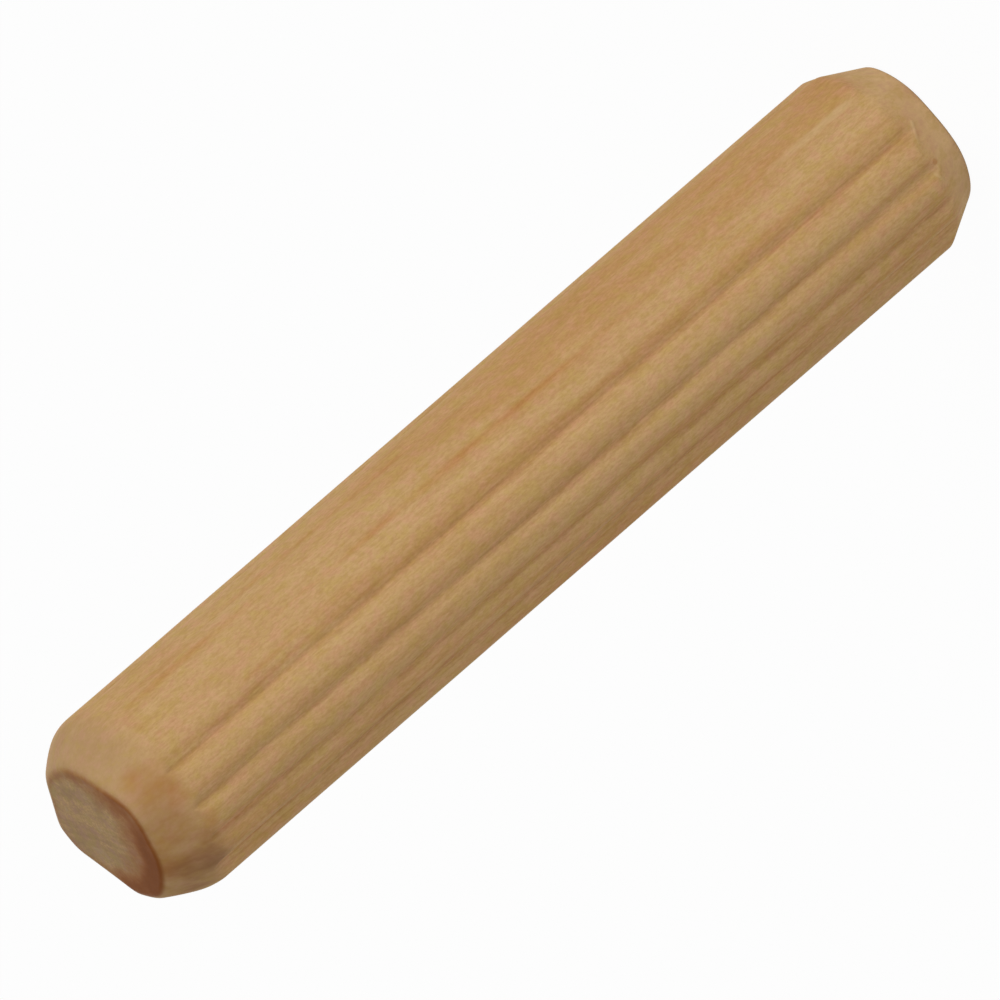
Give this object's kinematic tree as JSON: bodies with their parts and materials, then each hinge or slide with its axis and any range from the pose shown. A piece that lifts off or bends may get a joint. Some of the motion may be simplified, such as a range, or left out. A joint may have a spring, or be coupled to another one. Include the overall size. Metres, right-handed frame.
{
  "type": "wooden dowel pin",
  "caption": "Short fluted wooden dowel pin with chamfered ends that glues into a pair of facing holes to align and join two panels.",
  "frame": {"origin": "middle of the foot end's flat face, which the pin stands on", "axes": "+Z along the pin from the foot end to the head end, whose face is sawn slightly out of square; -Y faces the side that the picture shows"},
  "size_m": [0.0078, 0.0078, 0.0401],
  "materials": {
    "beech": "bare, sanded by tumbling"
  },
  "bodies": {
    "root": {"dowel_pin": "beech"}
  },
  "joints": []
}
